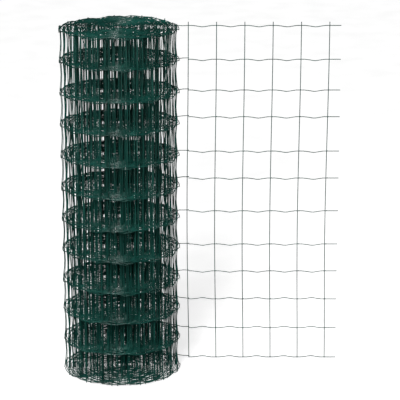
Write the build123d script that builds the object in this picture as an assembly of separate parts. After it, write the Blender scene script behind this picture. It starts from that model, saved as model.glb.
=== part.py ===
from build123d import *
import math
import os

# A roll of welded wire fence, standing on end, with a flat free stretch led off behind it.
# Line wires run along the fence and are coiled with it. Stays are the upright wires welded
# across them. The roll's axis is Z, the ground is Z = 0 and the free stretch runs along +X.
# Seen from above, the mesh winds clockwise from the core out, with its stays on the outside.

# Mesh
mesh_height = 1000.0        # a stay's full length on the roll
wire_diameter = 2.2         # over the plastic coat
line_wire_count = 12
stay_overhang = 1.0         # stay end past the outermost line wire
stay_pitch = 79.4           # along the fence
weld_set_down = 0.6         # how far a stay sinks into a line wire at the weld

# Crimps in the line wires, halfway between stays
crimp_depth = 4.0
crimp_length = 44.0
crimp_bend_radius = 18.0
upward_crimps = 3           # the lowest line wires point their crimps up, the others down

# Roll
roll_radius = 166.2         # outermost turn, to the line wire's centre
core_radius = 12.0
turn_clearance = 0.05       # left between a stay and the next turn out

# Free stretch, and the bend that leads it off the roll
free_stretch_y = 80.0       # its plane, behind the roll's axis
lead_out_radius = 38.0
lead_out_straight = 24.0    # from the bend to the first free stay
free_bays = 5               # hinged bays after the first free stay
free_end = 32.0             # line wire past the last stay
slipped_cells = 3           # cells on the back of the roll over which the line wires slip
slip = [10, 16, 14, 1, 11, 0, 7, 16, 7, 2, 0, 0]      # down from even spacing, top wire first

# Clearance where two bays flex against each other, along the line wire
flex_gap = 1.0

# How the model is divided
turns_per_node = 3
corner_share = 0.9          # bend radius at a path's corner, as a share of the roll's radius
coiled_wire_sides = 8       # the coiled stretch has a flat-sided section, to stay light

wire_radius = wire_diameter / 2
stay_offset = wire_diameter - weld_set_down
bottom_wire_z = stay_overhang + wire_radius
wire_spacing = (mesh_height - 2 * bottom_wire_z) / (line_wire_count - 1)
turn_spacing = 2 * wire_diameter - weld_set_down + turn_clearance
half_spacing = turn_spacing / 2
half_turns = int((roll_radius - core_radius) / half_spacing)

# Where the outermost turn leaves the roll, and where the bend ends on the free stretch
bend_reach = roll_radius + lead_out_radius
leave_angle = math.asin((free_stretch_y + lead_out_radius) / bend_reach)
bend_end_x = bend_reach * math.cos(leave_angle)
first_stay_x = bend_end_x + lead_out_straight
bend_run = lead_out_radius * (math.pi / 2 - leave_angle)
cell_angle = stay_pitch / roll_radius
last_roll_stay = leave_angle + (stay_pitch - lead_out_straight - bend_run) / roll_radius
coil_end_angle = last_roll_stay + slipped_cells * cell_angle


def polar(radius, angle, z=0.0, centre=Vector(0, 0, 0)):
    """A point at a radius and an angle from the roll's axis, or from another centre."""
    return centre + Vector(radius * math.cos(angle), radius * math.sin(angle), z)


def coil_half_turn(n):
    """Centre, radius and first angle of a half turn, counted from the outer end inwards."""
    centre = polar(half_spacing, coil_end_angle) if n % 2 == 0 else Vector(0, 0, 0)
    return centre, roll_radius - (n + 1) * half_spacing, coil_end_angle + n * math.pi


def even_z(wire):
    """Height of a line wire where the mesh is evenly spaced. Wire 0 is the top one."""
    return bottom_wire_z + (line_wire_count - 1 - wire) * wire_spacing


def free_z(wire):
    """Height of a line wire in the free stretch, where some have slipped."""
    return even_z(wire) - slip[wire]


def crimp_at(wire, distance):
    """How far a crimp has moved its line wire, at a distance from the crimp's middle."""
    direction = 1 if wire >= line_wire_count - upward_crimps else -1
    share = max(0.0, 1 - abs(distance) / (crimp_length / 2))
    return direction * crimp_depth * share


def free_point(wire, x, crimp_x):
    """A point of a line wire in the free stretch, near the crimp at crimp_x."""
    return Vector(x, free_stretch_y, free_z(wire) + crimp_at(wire, x - crimp_x))


def wire_along(path, outline):
    """A wire of the given section, swept along a path whose runs and arcs meet without corners."""
    section = Plane(origin=path @ 0, z_dir=path % 0) * outline
    return sweep(section, path=path).solid()


def stay_at(point, height=mesh_height):
    """An upright stay with its foot at a point on the ground."""
    return Solid.make_cylinder(wire_radius, height, Plane(point))


def hinge_x(bay):
    """Crimp line that bay 1, 2 ... flexes at."""
    return first_stay_x + (bay - 0.5) * stay_pitch


def slipping_run(wire):
    """A line wire from the coil's end round the back of the roll, down to its free height."""
    corner_radius = roll_radius / math.cos(cell_angle / 2)
    points = [polar(roll_radius, coil_end_angle, even_z(wire))]
    for cell in range(slipped_cells):
        angle = coil_end_angle - (cell + 0.5) * cell_angle
        slipped = slip[wire] * cell / (slipped_cells - 1)
        points.append(polar(corner_radius, angle, even_z(wire) - slipped))
    points.append(polar(roll_radius, last_roll_stay, free_z(wire)))
    return FilletPolyline(points, radius=corner_share * roll_radius)


def line_wire(wire):
    """One line wire of the roll, from the core to the last stay that lies on the roll."""
    edges = []
    for n in range(half_turns):
        centre, radius, angle = coil_half_turn(n)
        start = Vector(centre.X, centre.Y, even_z(wire))
        edges.append(CenterArc(start, radius, math.degrees(angle), 180).edge())
    section = RegularPolygon(wire_radius, coiled_wire_sides)
    return wire_along(Wire(edges + slipping_run(wire).edges()), section)


def lead_out_wire(wire):
    """A line wire from the last stay on the roll, off the roll and to the first free crimp."""
    half_run = (last_roll_stay - leave_angle) / 2
    bend_corner_x = bend_end_x - lead_out_radius * math.tan((math.pi / 2 - leave_angle) / 2)
    crimp_x = hinge_x(1)
    points = [
        polar(roll_radius, last_roll_stay, free_z(wire)),
        polar(roll_radius / math.cos(half_run), leave_angle + half_run, free_z(wire)),
        Vector(bend_corner_x, free_stretch_y, free_z(wire)),
        free_point(wire, crimp_x - crimp_length / 2, crimp_x),
        free_point(wire, crimp_x - flex_gap / 2, crimp_x),
    ]
    radii = [corner_share * roll_radius, lead_out_radius, crimp_bend_radius]
    return wire_along(FilletPolyline(points, radius=radii), Circle(wire_radius))


def bay_wires(bay):
    """The line wires of one free bay, each from crimp to crimp, or to its free end."""
    wires = []
    near, far = hinge_x(bay), hinge_x(bay + 1)
    last_x = first_stay_x + bay * stay_pitch + free_end if bay == free_bays else far - flex_gap / 2
    for wire in range(line_wire_count):
        points = [
            free_point(wire, near + flex_gap / 2, near),
            free_point(wire, near + crimp_length / 2, near),
            free_point(wire, far - crimp_length / 2, far),
            free_point(wire, last_x, far),
        ]
        wires.append(wire_along(FilletPolyline(points, radius=crimp_bend_radius), Circle(wire_radius)))
    return Compound(wires)


def roll_stays():
    """Stays of the roll, in lists by turn from the outside in."""
    turns = [[polar(roll_radius + stay_offset, last_roll_stay + cell * cell_angle)
              for cell in range(slipped_cells)]]
    distance = 0.0
    for n in range(half_turns):
        centre, radius, angle = coil_half_turn(n)
        if n % 2 == 0 and n > 0:
            turns.append([])
        while distance < math.pi * radius:
            turns[-1].append(polar(radius + stay_offset, angle + distance / radius, 0, centre))
            distance += stay_pitch
        distance -= math.pi * radius
    return turns


def save(node, shape):
    shape.label = node
    export_step(shape, f"parts/{node}.step")


os.makedirs("parts", exist_ok=True)

for wire in range(line_wire_count):
    save(f"line_wire_{wire + 1:02d}", line_wire(wire))

save("lead_out_line_wires", Compound([lead_out_wire(wire) for wire in range(line_wire_count)]))

turns = roll_stays()
save("roll_stays_turn_01", Compound([stay_at(point) for point in turns[0]]))
for first in range(1, len(turns), turns_per_node):
    last = min(first + turns_per_node, len(turns))
    points = [point for turn in turns[first:last] for point in turn]
    save(f"roll_stays_turns_{first + 1:02d}_{last:02d}", Compound([stay_at(point) for point in points]))

stay_y = free_stretch_y + stay_offset
free_stay_height = free_z(0) + wire_radius + stay_overhang
save("first_free_stay", stay_at(Vector(first_stay_x, stay_y, 0), free_stay_height))
for bay in range(1, free_bays + 1):
    stay_foot = Vector(first_stay_x + bay * stay_pitch, stay_y, 0)
    save(f"bay_{bay}_stay", stay_at(stay_foot, free_stay_height))
    save(f"bay_{bay}_line_wires", bay_wires(bay))
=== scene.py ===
import math
import bpy
from mathutils import Matrix, Vector


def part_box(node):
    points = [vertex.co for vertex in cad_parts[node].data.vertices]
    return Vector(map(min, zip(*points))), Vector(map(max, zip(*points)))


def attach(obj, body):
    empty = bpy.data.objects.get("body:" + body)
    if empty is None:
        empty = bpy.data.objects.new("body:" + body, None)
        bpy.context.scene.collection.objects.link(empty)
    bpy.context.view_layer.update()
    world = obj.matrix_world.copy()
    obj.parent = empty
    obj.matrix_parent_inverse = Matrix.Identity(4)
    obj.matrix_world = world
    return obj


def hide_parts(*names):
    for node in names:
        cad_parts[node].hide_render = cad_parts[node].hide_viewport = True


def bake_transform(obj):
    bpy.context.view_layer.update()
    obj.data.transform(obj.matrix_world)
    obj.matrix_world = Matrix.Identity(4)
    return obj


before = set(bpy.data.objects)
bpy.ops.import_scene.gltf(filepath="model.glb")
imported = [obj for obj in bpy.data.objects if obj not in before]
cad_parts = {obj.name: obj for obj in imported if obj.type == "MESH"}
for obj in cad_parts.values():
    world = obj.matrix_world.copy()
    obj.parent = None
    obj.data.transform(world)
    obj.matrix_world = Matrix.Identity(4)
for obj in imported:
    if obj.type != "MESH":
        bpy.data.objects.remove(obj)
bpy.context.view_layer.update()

# Line wires of the roll: twelve drawn steel wires in a bonded plastic coat. Each is one wire from
# the first free stay in to the core, with a V crimp pressed in halfway between every two stays.
# The flat mesh is made first, a pitch at a time, and then wound along one path.
line_wire_names = sorted(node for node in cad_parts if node.startswith("line_wire_"))
upward_crimps = 3
stay_low, stay_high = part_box("first_free_stay")
next_stay_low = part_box("bay_1_stay")[0]
wire_radius = (stay_high[0] - stay_low[0]) / 2
stay_pitch = next_stay_low[0] - stay_low[0]
mesh_height = stay_high[2] - stay_low[2]
first_stay_x = (stay_low[0] + stay_high[0]) / 2
free_low, free_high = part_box("bay_1_line_wires")
free_stretch_y = (free_low[1] + free_high[1]) / 2
stay_offset = (stay_low[1] + stay_high[1]) / 2 - free_stretch_y
roll_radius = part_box("line_wire_01")[1][1] - wire_radius
turn_spacing = 0.00385
core_radius = 0.012
lead_out_radius = 0.038
slipped_cells = 3
wire_sides = 8


def wound_path():
    """Stops of the mesh's path from the first free stay in to the core: place, direction, reach.

    The reach is the length of the handles that make each stretch a true arc.
    """
    stops = []

    def arc(centre, radius, start, sweep, parts):
        step = sweep / parts
        reach = abs(4 / 3 * math.tan(step / 4) * radius)
        for part in range(parts + 1):
            angle = start + part * step
            side = math.copysign(1, sweep)
            place = centre + radius * Vector((math.cos(angle), math.sin(angle), 0))
            ahead = side * Vector((-math.sin(angle), math.cos(angle), 0))
            if stops and (stops[-1][0] - place).length < 1e-6:
                stops[-1][3] = reach
            else:
                stops.append([place, ahead, reach, reach])

    bend_reach = roll_radius + lead_out_radius
    leave_angle = math.asin((free_stretch_y + lead_out_radius) / bend_reach)
    bend_centre = Vector((bend_reach * math.cos(leave_angle), free_stretch_y + lead_out_radius, 0))
    lead_out_straight = first_stay_x - bend_centre.x
    bend_run = lead_out_radius * (math.pi / 2 - leave_angle)
    last_roll_stay = leave_angle + (stay_pitch - lead_out_straight - bend_run) / roll_radius
    coil_start = last_roll_stay + slipped_cells * stay_pitch / roll_radius
    third = lead_out_straight / 3
    stops.append([Vector((first_stay_x, free_stretch_y, 0)), Vector((-1, 0, 0)), third, third])
    arc(bend_centre, lead_out_radius, -math.pi / 2, leave_angle - math.pi / 2, 3)
    stops[1][2] = third
    arc(Vector(), roll_radius, leave_angle, coil_start - leave_angle, 4)
    offset = turn_spacing / 2 * Vector((math.cos(coil_start), math.sin(coil_start), 0))
    half_turns = int((roll_radius - core_radius) / (turn_spacing / 2))
    lengths = []
    for n in range(half_turns):
        radius = roll_radius - (n + 1) * turn_spacing / 2
        centre = offset if n % 2 == 0 else Vector()
        arc(centre, radius, coil_start + n * math.pi, math.pi, 4)
        lengths.append(math.pi * radius)
    return stops, lengths


stops, half_turn_lengths = wound_path()
coil_length = sum(half_turn_lengths)
coil_cells = int(coil_length / stay_pitch)
all_cells = 1 + slipped_cells + coil_cells
bpy.ops.curve.primitive_bezier_curve_add()
mesh_path = bpy.context.object
mesh_path.name = "mesh_path"
mesh_path.data.twist_mode = "Z_UP"
mesh_path.data.resolution_u = 16
spline = mesh_path.data.splines[0]
spline.bezier_points.add(len(stops) - 2)
for point, (place, ahead, reach_in, reach_out) in zip(spline.bezier_points, stops):
    point.handle_left_type = "FREE"
    point.handle_right_type = "FREE"
    point.co = place
    point.handle_left = place - ahead * reach_in
    point.handle_right = place + ahead * reach_out


class Finish:
    """A shader socket that can be added, multiplied and subtracted like a number."""

    def __init__(self, tree, socket=None):
        self.tree = tree
        self.socket = socket

    def node(self, kind, settings, inputs, output=0):
        """Add a node with its settings, then its socket values or links."""
        made = self.tree.nodes.new(kind)
        for name, value in settings.items():
            if name == "stops":
                for stop, (position, colour) in zip(made.color_ramp.elements, value):
                    stop.position, stop.color = position, colour
            else:
                setattr(made, name, value)
        for name, value in inputs.items():
            if isinstance(value, Finish):
                self.tree.links.new(value.socket, made.inputs[name])
            else:
                made.inputs[name].default_value = value
        return Finish(self.tree, made.outputs[output]) if made.outputs else None

    def maths(self, operation, first, second):
        return self.node("ShaderNodeMath", {"operation": operation}, {0: first, 1: second})

    def __add__(self, other):
        return self.maths("ADD", self, other)

    def __mul__(self, other):
        return self.maths("MULTIPLY", self, other)

    def __sub__(self, other):
        return self.maths("SUBTRACT", self, other)

    def __rsub__(self, other):
        return self.maths("SUBTRACT", other, self)

    __radd__ = __add__
    __rmul__ = __mul__


def start_material(name):
    material = bpy.data.materials.new(name)
    material.use_nodes = True
    material.node_tree.nodes.clear()
    return material, Finish(material.node_tree)


# the coat: dark green with a waxy gloss, slightly uneven in tone, and dusty and rougher in
# random patches
coat, shade = start_material("green plastic coat")
place = shade.node("ShaderNodeTexCoord", {}, {}, 3)
cloudy = shade.node("ShaderNodeTexNoise", {}, {"Vector": place, "Scale": 14, "Detail": 3})
dusty = shade.node("ShaderNodeTexNoise", {}, {"Vector": place, "Scale": 55, "Detail": 4})
pebbled = shade.node("ShaderNodeTexNoise", {}, {"Vector": place, "Scale": 900, "Detail": 2})
dust_stops = [(0.5, (0, 0, 0, 1)), (0.78, (1, 1, 1, 1))]
dust = shade.node("ShaderNodeValToRGB", {"stops": dust_stops}, {"Fac": dusty})
green_stops = [(0.35, (0.002, 0.032, 0.025, 1)), (0.68, (0.006, 0.064, 0.050, 1))]
green = shade.node("ShaderNodeValToRGB", {"stops": green_stops}, {"Fac": cloudy})
dust_share = dust * 0.05
dust_colour = (0.16, 0.20, 0.18, 1)
coloured = shade.node(
    "ShaderNodeMix", {"data_type": "RGBA"}, {0: dust_share, 6: green, 7: dust_colour}, 2)
bump = shade.node("ShaderNodeBump", {}, {"Height": pebbled, "Strength": 0.25, "Distance": 0.0002})
surface = shade.node("ShaderNodeBsdfPrincipled", {}, {
    "Base Color": coloured, "Roughness": cloudy * 0.10 + dust * 0.18 + 0.24, "Normal": bump,
    "Specular IOR Level": 0.4})
shade.node("ShaderNodeOutputMaterial", {}, {"Surface": surface})

# the steel core, seen only where a wire was cut: bright, with the shear's fine drag marks
steel, shade = start_material("cut steel core")
place = shade.node("ShaderNodeTexCoord", {}, {}, 3)
stretched = shade.node("ShaderNodeMapping", {}, {"Vector": place, "Scale": (4000, 300, 300)})
drag = shade.node("ShaderNodeTexNoise", {}, {"Vector": stretched, "Scale": 1, "Detail": 2})
steel_stops = [(0.3, (0.30, 0.30, 0.30, 1)), (0.7, (0.52, 0.52, 0.51, 1))]
steel_colour = shade.node("ShaderNodeValToRGB", {"stops": steel_stops}, {"Fac": drag})
surface = shade.node("ShaderNodeBsdfPrincipled", {}, {
    "Base Color": steel_colour, "Metallic": 1.0, "Roughness": drag * 0.2 + 0.3})
shade.node("ShaderNodeOutputMaterial", {}, {"Surface": surface})


def start_wire(name, place, turn=(0, 0, 0), fill="NOTHING"):
    """Start a wire as a ring of its section, and go into edit mode with the ring selected."""
    bpy.ops.object.select_all(action="DESELECT")
    bpy.ops.mesh.primitive_circle_add(
        vertices=wire_sides, radius=wire_radius, fill_type=fill, location=place, rotation=turn)
    wire = bpy.context.object
    wire.name = name
    wire.data.materials.append(coat)
    wire.data.materials.append(steel)
    bpy.ops.object.transform_apply(location=True, rotation=True, scale=True)
    bpy.ops.object.mode_set(mode="EDIT")
    bpy.ops.mesh.select_all(action="SELECT")
    return wire


def draw_out(steps):
    """Draw the selected section out along one step after another."""
    for step in steps:
        bpy.ops.mesh.extrude_region_move(TRANSFORM_OT_translate={"value": step})


def leave_edit():
    """Turn every face outwards and go back to object mode."""
    bpy.ops.mesh.select_all(action="SELECT")
    bpy.ops.mesh.normals_make_consistent(inside=False)
    bpy.ops.object.mode_set(mode="OBJECT")


def apply_modifier(piece, kind, **settings):
    bpy.context.view_layer.objects.active = piece
    modifier = piece.modifiers.new(kind, kind)
    for name, value in settings.items():
        setattr(modifier, name, value)
    bpy.ops.object.modifier_apply(modifier=modifier.name)


def repeat(piece, count, step):
    """Repeat a piece along the flat mesh, each copy joined to the one before where they meet."""
    apply_modifier(
        piece, "ARRAY", count=count, use_relative_offset=False, use_constant_offset=True,
        constant_offset_displace=step, use_merge_vertices=True, merge_threshold=1e-5)


def join(pieces):
    """Join pieces into the first of them."""
    bpy.ops.object.select_all(action="DESELECT")
    for piece in pieces:
        piece.select_set(True)
    bpy.context.view_layer.objects.active = pieces[0]
    if len(pieces) > 1:
        bpy.ops.object.join()
    return pieces[0]


def copy_of(piece, name, step=(0, 0, 0)):
    """A copy with its own mesh, moved by a step."""
    copied = piece.copy()
    copied.data = piece.data.copy()
    copied.name = name
    bpy.context.collection.objects.link(copied)
    copied.data.transform(Matrix.Translation(step))
    return copied


def close_ends(piece):
    """Close the open ends of a wire."""
    bpy.ops.object.select_all(action="DESELECT")
    piece.select_set(True)
    bpy.context.view_layer.objects.active = piece
    bpy.ops.object.mode_set(mode="EDIT")
    bpy.ops.mesh.select_all(action="SELECT")
    bpy.ops.mesh.fill_holes(sides=wire_sides)
    leave_edit()


def jumble_texture(name, size):
    texture = bpy.data.textures.new(name, "CLOUDS")
    texture.noise_scale = size
    texture.noise_depth = 1
    return texture


# the turns never lie quite true: the mesh wanders up and down and in and out as it was wound,
# past its first turn it has crept a little to and fro along itself, and its edges are ruffled
rise_jumble = jumble_texture("rise of the mesh", 0.13)
depth_jumble = jumble_texture("depth of the mesh", 0.09)
sway_jumble = jumble_texture("sway of the stays", 0.16)
ruffle_jumble = jumble_texture("ruffle of the line wires", 0.035)
mesh_rise = 0.006
creep_from = 1.4
creep_size = 0.008
top_ruffle = 0.010
ruffle = 0.005


def jumble(piece, **strengths):
    """Let a piece of the flat mesh wander a little along each named axis."""
    textures = {"X": sway_jumble, "Y": depth_jumble}
    for axis, strength in strengths.items():
        apply_modifier(
            piece, "DISPLACE", texture=textures[axis], texture_coords="LOCAL", direction=axis,
            strength=strength, mid_level=0.5)


def creep(distance):
    """How far the mesh has crept along itself, at a distance from the first free stay."""
    share = min(1.0, max(0.0, (distance - creep_from) / creep_from))
    return share * creep_size * (math.sin(distance * 3.1) + math.sin(distance * 3.7 + 0.7))


def wind(piece):
    """Wind a piece of the flat mesh onto the roll, where neighbouring turns then rise together."""
    for vertex in piece.data.vertices:
        vertex.co.x += creep(vertex.co.x)
    apply_modifier(piece, "CURVE", object=mesh_path, deform_axis="POS_X")
    apply_modifier(
        piece, "DISPLACE", texture=rise_jumble, texture_coords="LOCAL", direction="Z",
        strength=mesh_rise, mid_level=0.0)


def smooth(piece):
    bpy.ops.object.select_all(action="DESELECT")
    piece.select_set(True)
    bpy.context.view_layer.objects.active = piece
    bpy.ops.object.shade_smooth_by_angle(angle=math.radians(60))


def slipped_share(distance):
    """Share of its slip that a line wire has, at a distance from the first free stay."""
    if distance <= stay_pitch:
        return 1.0
    if distance >= (1 + slipped_cells) * stay_pitch:
        return 0.0
    share = 1 - (distance - stay_pitch) / (slipped_cells * stay_pitch)
    return share * share * (3 - 2 * share)


def weld_bead(place):
    """The swelling of the coat round a weld, flattened between the two wires."""
    bpy.ops.object.select_all(action="DESELECT")
    bpy.ops.mesh.primitive_uv_sphere_add(
        segments=8, ring_count=5, radius=wire_radius, location=place, scale=(1.5, 1.25, 1.5))
    bead = bpy.context.object
    bpy.ops.object.transform_apply(location=True, rotation=True, scale=True)
    bead.data.materials.append(coat)
    bead.data.materials.append(steel)
    return bead


def crimp_steps(depth, bulge):
    """Steps that draw one pitch of line wire from stay to stay, with its V crimp and its bulge."""
    stations = [(0.0, 0.0, 0.0), (0.2, 0.10, 0.45), (0.33, 0.35, 0.8), (0.43, 0.78, 0.97),
                (0.5, 1.0, 1.0), (0.57, 0.78, 0.97), (0.67, 0.35, 0.8), (0.8, 0.10, 0.45),
                (1.0, 0.0, 0.0)]
    return [((b[0] - a[0]) * stay_pitch, -(b[2] - a[2]) * bulge, (b[1] - a[1]) * depth)
            for a, b in zip(stations, stations[1:])]


def coiled_wire(name, direction):
    """One line wire of the flat mesh, with beads where its outer turns are welded to the stays."""
    runs = []
    for first, cells, depth, bulge in wire_runs:
        run = start_wire(name, (first * stay_pitch, 0, 0), (0, math.pi / 2, 0))
        draw_out(crimp_steps(direction * depth, bulge))
        leave_edit()
        repeat(run, cells, (stay_pitch, 0, 0))
        runs.append(run)
    wire = join(runs)
    bpy.ops.object.mode_set(mode="EDIT")
    bpy.ops.mesh.select_all(action="SELECT")
    bpy.ops.mesh.remove_doubles(threshold=1e-5)
    bpy.ops.object.mode_set(mode="OBJECT")
    close_ends(wire)
    bead = weld_bead((0, -stay_offset / 2, 0))
    repeat(bead, beaded_cells, (stay_pitch, 0, 0))
    return join([wire, bead])


# outer turns show their crimps deep and bulged; inside the roll they are pressed flatter
beaded_cells = 56
run_starts = [0, 2, 41, 106, all_cells]
run_crimps = [(0.004, 0.0), (0.0055, 0.003), (0.0045, 0.002), (0.0025, 0.001)]
wire_runs = [(first, last - first, *crimp)
             for first, last, crimp in zip(run_starts, run_starts[1:], run_crimps)]
down_wire = coiled_wire("down_crimped_wire", -1)
up_wire = coiled_wire("up_crimped_wire", 1)
count = len(line_wire_names)
for order, node in enumerate(line_wire_names):
    low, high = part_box(node)
    even_z = high[2] - wire_radius
    free_z = low[2] + wire_radius
    pattern = up_wire if order >= count - upward_crimps else down_wire
    wire = copy_of(pattern, f"coated_{node}", (0, 0, even_z))
    jumble(wire, Y=0.002)
    for vertex in wire.data.vertices:
        vertex.co.z -= (even_z - free_z) * slipped_share(vertex.co.x)
    wind(wire)
    # the top wire dips below its level, the bottom one keeps clear of the floor
    ruffle_level = 0.8 if order == 0 else 0.2 if order == count - 1 else 0.5
    apply_modifier(
        wire, "DISPLACE", texture=ruffle_jumble, texture_coords="LOCAL", direction="Z",
        strength=top_ruffle if order == 0 else ruffle, mid_level=ruffle_level)
    smooth(wire)
    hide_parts(node, "lead_out_line_wires")
    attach(wire, "roll")
bpy.data.objects.remove(down_wire)
bpy.data.objects.remove(up_wire)


# Stays of the roll: straight wires of the same gauge, cropped to the height of the mesh and welded
# across the outside of the line wires. Their cut ends show the steel core. Between two line
# wires each is drawn in a little by the tension of the winding.
steel_share = 0.77
line_levels = [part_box(node)[1][2] - wire_radius for node in line_wire_names][::-1]
even_spacing = line_levels[1] - line_levels[0]
leaning_stay = 8
stay_lean = 0.014


def upright_stay(name, place, height, bow=0.0, levels_per_gap=4):
    """A stay with its foot at a place, drawn in between the line wires by a bow."""
    stay = start_wire(name, place, fill="NGON")
    heights = [0.0]
    for level in line_levels[:-1]:
        for part in range(levels_per_gap):
            heights.append(level + part * even_spacing / levels_per_gap)
    heights += [line_levels[-1] - mesh_height + height, height]
    inward = [bow * math.sin(math.pi * max(0.0, min(1.0, (z - line_levels[0]) / even_spacing % 1)))
              for z in heights]
    inward[0] = inward[-1] = inward[-2] = 0.0
    for a, b in zip(range(len(heights)), range(1, len(heights))):
        draw_out([(0, inward[b] - inward[a], heights[b] - heights[a])])
    bpy.ops.mesh.select_all(action="DESELECT")
    bpy.ops.object.mode_set(mode="OBJECT")
    for face in stay.data.polygons:
        face.select = len(face.vertices) == wire_sides
    bpy.ops.object.mode_set(mode="EDIT")
    bpy.ops.mesh.inset(thickness=wire_radius * (1 - steel_share), use_individual=True)
    bpy.ops.object.mode_set(mode="OBJECT")
    for face in stay.data.polygons:
        if len(face.vertices) == wire_sides:
            face.material_index = 1
    bpy.ops.object.mode_set(mode="EDIT")
    leave_edit()
    return stay


def stays_by_turn():
    """Number of the first stay of each turn from the outside in, and one past the last."""
    firsts = [1]
    for turn in range(1, len(half_turn_lengths) // 2):
        run = sum(half_turn_lengths[:2 * turn])
        firsts.append(1 + slipped_cells + math.ceil(run / stay_pitch))
    firsts.append(1 + slipped_cells + math.ceil(coil_length / stay_pitch))
    return firsts


first_of_turn = stays_by_turn()
for node in sorted(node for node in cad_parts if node.startswith("roll_stays")):
    turns = [int(word) for word in node.split("_") if word.isdigit()]
    first = first_of_turn[turns[0] - 1]
    last = first_of_turn[turns[-1]]
    bow, levels = (0.004, 4) if turns[0] == 1 else (0.003, 4) if turns[0] < 5 else (0.0005, 2)
    place = (first * stay_pitch, -stay_offset, 0)
    stays = upright_stay(f"coated_{node}", place, mesh_height, bow, levels)
    repeat(stays, last - first, (stay_pitch, 0, 0))
    if first <= leaning_stay < last:
        for vertex in stays.data.vertices:
            up_gap = (vertex.co.z - line_levels[-2]) / even_spacing
            if 0 < up_gap < 1 and abs(vertex.co.x - leaning_stay * stay_pitch) < stay_pitch / 2:
                vertex.co.x += stay_lean * math.sin(math.pi * up_gap)
    jumble(stays, X=0.008, Y=0.002)
    wind(stays)
    smooth(stays)
    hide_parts(node)
    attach(stays, "roll")


# Free stretch: the end of the same mesh, led off the back of the roll and standing flat. Each
# piece of line wire runs from stay to stay and bends at its crimp, and the last ones stand past
# the last stay as they were cropped.
free_crimp = 0.004
free_bays = sum(node.endswith("_stay") and node.startswith("bay_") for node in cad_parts)
free_levels = [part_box(node)[0][2] + wire_radius for node in line_wire_names]
free_end_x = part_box(f"bay_{free_bays}_line_wires")[1][0]
free_bow = 0.0045
bow_lift = 0.8


def broad_crimp_steps(depth):
    """Steps that draw one pitch of free line wire, whose crimp has been pulled broad."""
    stations = [(0.0, 0.0), (0.12, 0.0), (0.3, 0.42), (0.43, 0.88), (0.5, 1.0), (0.57, 0.88),
                (0.7, 0.42), (0.85, 0.0), (1.0, 0.0)]
    return [((b[0] - a[0]) * stay_pitch, 0, (b[1] - a[1]) * depth)
            for a, b in zip(stations, stations[1:])]


def free_wires(name, x, steps_of, beads=True):
    """Twelve line wires of the free stretch, side by side from a place along it."""
    wires = []
    for order, z in enumerate(free_levels):
        wire = start_wire(name, (x, free_stretch_y, z), (0, math.pi / 2, 0))
        draw_out(steps_of(order))
        leave_edit()
        close_ends(wire)
        wires.append(wire)
        if beads:
            wires.append(weld_bead((x + stay_pitch, free_stretch_y + stay_offset / 2, z)))
    return join(wires)


for bay in range(1, free_bays + 1):
    start_x = first_stay_x + (bay - 1) * stay_pitch
    wires = free_wires(
        f"bay_{bay}_coated_line_wires", start_x,
        lambda order: broad_crimp_steps(
            free_crimp if order >= count - upward_crimps else -free_crimp))
    smooth(wires)
    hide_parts(f"bay_{bay}_line_wires")
    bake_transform(wires)

last_stay_x = first_stay_x + free_bays * stay_pitch
ends = free_wires(
    "cropped_line_wire_ends", last_stay_x,
    lambda order: [((free_end_x - last_stay_x) / 2, 0, 0)] * 2, beads=False)
smooth(ends)
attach(ends, f"bay_{free_bays}")

for number in range(free_bays + 1):
    node = f"bay_{number}_stay" if number else "first_free_stay"
    low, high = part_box(node)
    place = ((low[0] + high[0]) / 2, (low[1] + high[1]) / 2, 0)
    stay = upright_stay(f"coated_{node}", place, high[2])
    for vertex in stay.data.vertices:
        height = vertex.co.z / mesh_height
        vertex.co.x -= free_bow * math.sin(math.pi * height ** bow_lift) ** 2
    smooth(stay)
    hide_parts(node)
    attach(stay, f"bay_{number}" if number else "roll")
bpy.data.objects.remove(mesh_path)


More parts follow.
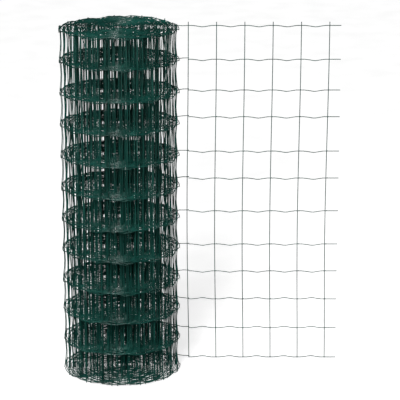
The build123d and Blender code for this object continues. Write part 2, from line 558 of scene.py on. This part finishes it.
# Floor and light of the studio: a pale matt floor that reads as white, a dim white surround, one
# broad light from above the front and four small soft lights, two in front and one at each side.
floor_reach = 12.0
bpy.ops.object.select_all(action="DESELECT")
bpy.ops.mesh.primitive_plane_add(size=2 * floor_reach, location=(0, 0, -0.0005))
floor = bpy.context.object
floor.name = "studio_floor"
bpy.ops.object.transform_apply(location=True, rotation=True, scale=True)
pale, shade = start_material("pale studio floor")
place = shade.node("ShaderNodeTexCoord", {}, {}, 3)
mottle = shade.node("ShaderNodeTexNoise", {}, {"Vector": place, "Scale": 6, "Detail": 3})
pale_stops = [(0.3, (0.58, 0.58, 0.58, 1)), (0.7, (0.62, 0.62, 0.62, 1))]
pale_colour = shade.node("ShaderNodeValToRGB", {"stops": pale_stops}, {"Fac": mottle})
surface = shade.node(
    "ShaderNodeBsdfPrincipled", {}, {
        "Base Color": pale_colour, "Roughness": 0.9, "Emission Color": pale_colour,
        "Emission Strength": 1.15})
shade.node("ShaderNodeOutputMaterial", {}, {"Surface": surface})
floor.data.materials.append(pale)
floor.visible_diffuse = False
floor.visible_glossy = False

world = bpy.data.worlds.new("studio_surround")
world.use_nodes = True
world.node_tree.nodes["Background"].inputs["Color"].default_value = (1, 1, 1, 1)
world.node_tree.nodes["Background"].inputs["Strength"].default_value = 0.04
bpy.context.scene.world = world
bpy.context.scene.view_settings.view_transform = "Standard"


def soft_light(name, place, size, power):
    """A square soft light aimed at the middle of the roll."""
    bpy.ops.object.light_add(type="AREA", location=place)
    light = bpy.context.object
    light.name = name
    light.data.size = size
    light.data.energy = power
    light.visible_camera = False
    aim = Vector((0.1, 0, 0.5)) - Vector(place)
    light.rotation_euler = aim.to_track_quat("-Z", "Y").to_euler()


bpy.ops.object.light_add(type="SUN", rotation=(math.radians(45), math.radians(-14), 0))
broad_light = bpy.context.object
broad_light.name = "broad_front_light"
broad_light.data.energy = 2.0
broad_light.data.angle = math.radians(30)
soft_light("front_softbox", (-0.5, -3.2, 2.2), 0.5, 90)
soft_light("low_softbox", (0.4, -2.8, 0.3), 0.3, 5)
soft_light("left_softbox", (-3.0, -0.9, 1.2), 0.5, 25)
soft_light("right_softbox", (3.2, -0.7, 1.2), 0.5, 25)

# Camera: in front of the roll from some way off and above its top, with a long lens, looking
# a little down.
camera_data = bpy.data.cameras.new("camera")
camera_data.sensor_width = 36
camera_data.lens = 181.6
camera_data.clip_end = 100
camera = bpy.data.objects.new("camera", camera_data)
bpy.context.collection.objects.link(camera)
camera.location = (0.2235, -5.5, 2.0347)
camera.rotation_euler = (math.radians(90 - 15.57), 0, 0)
bpy.context.scene.camera = camera
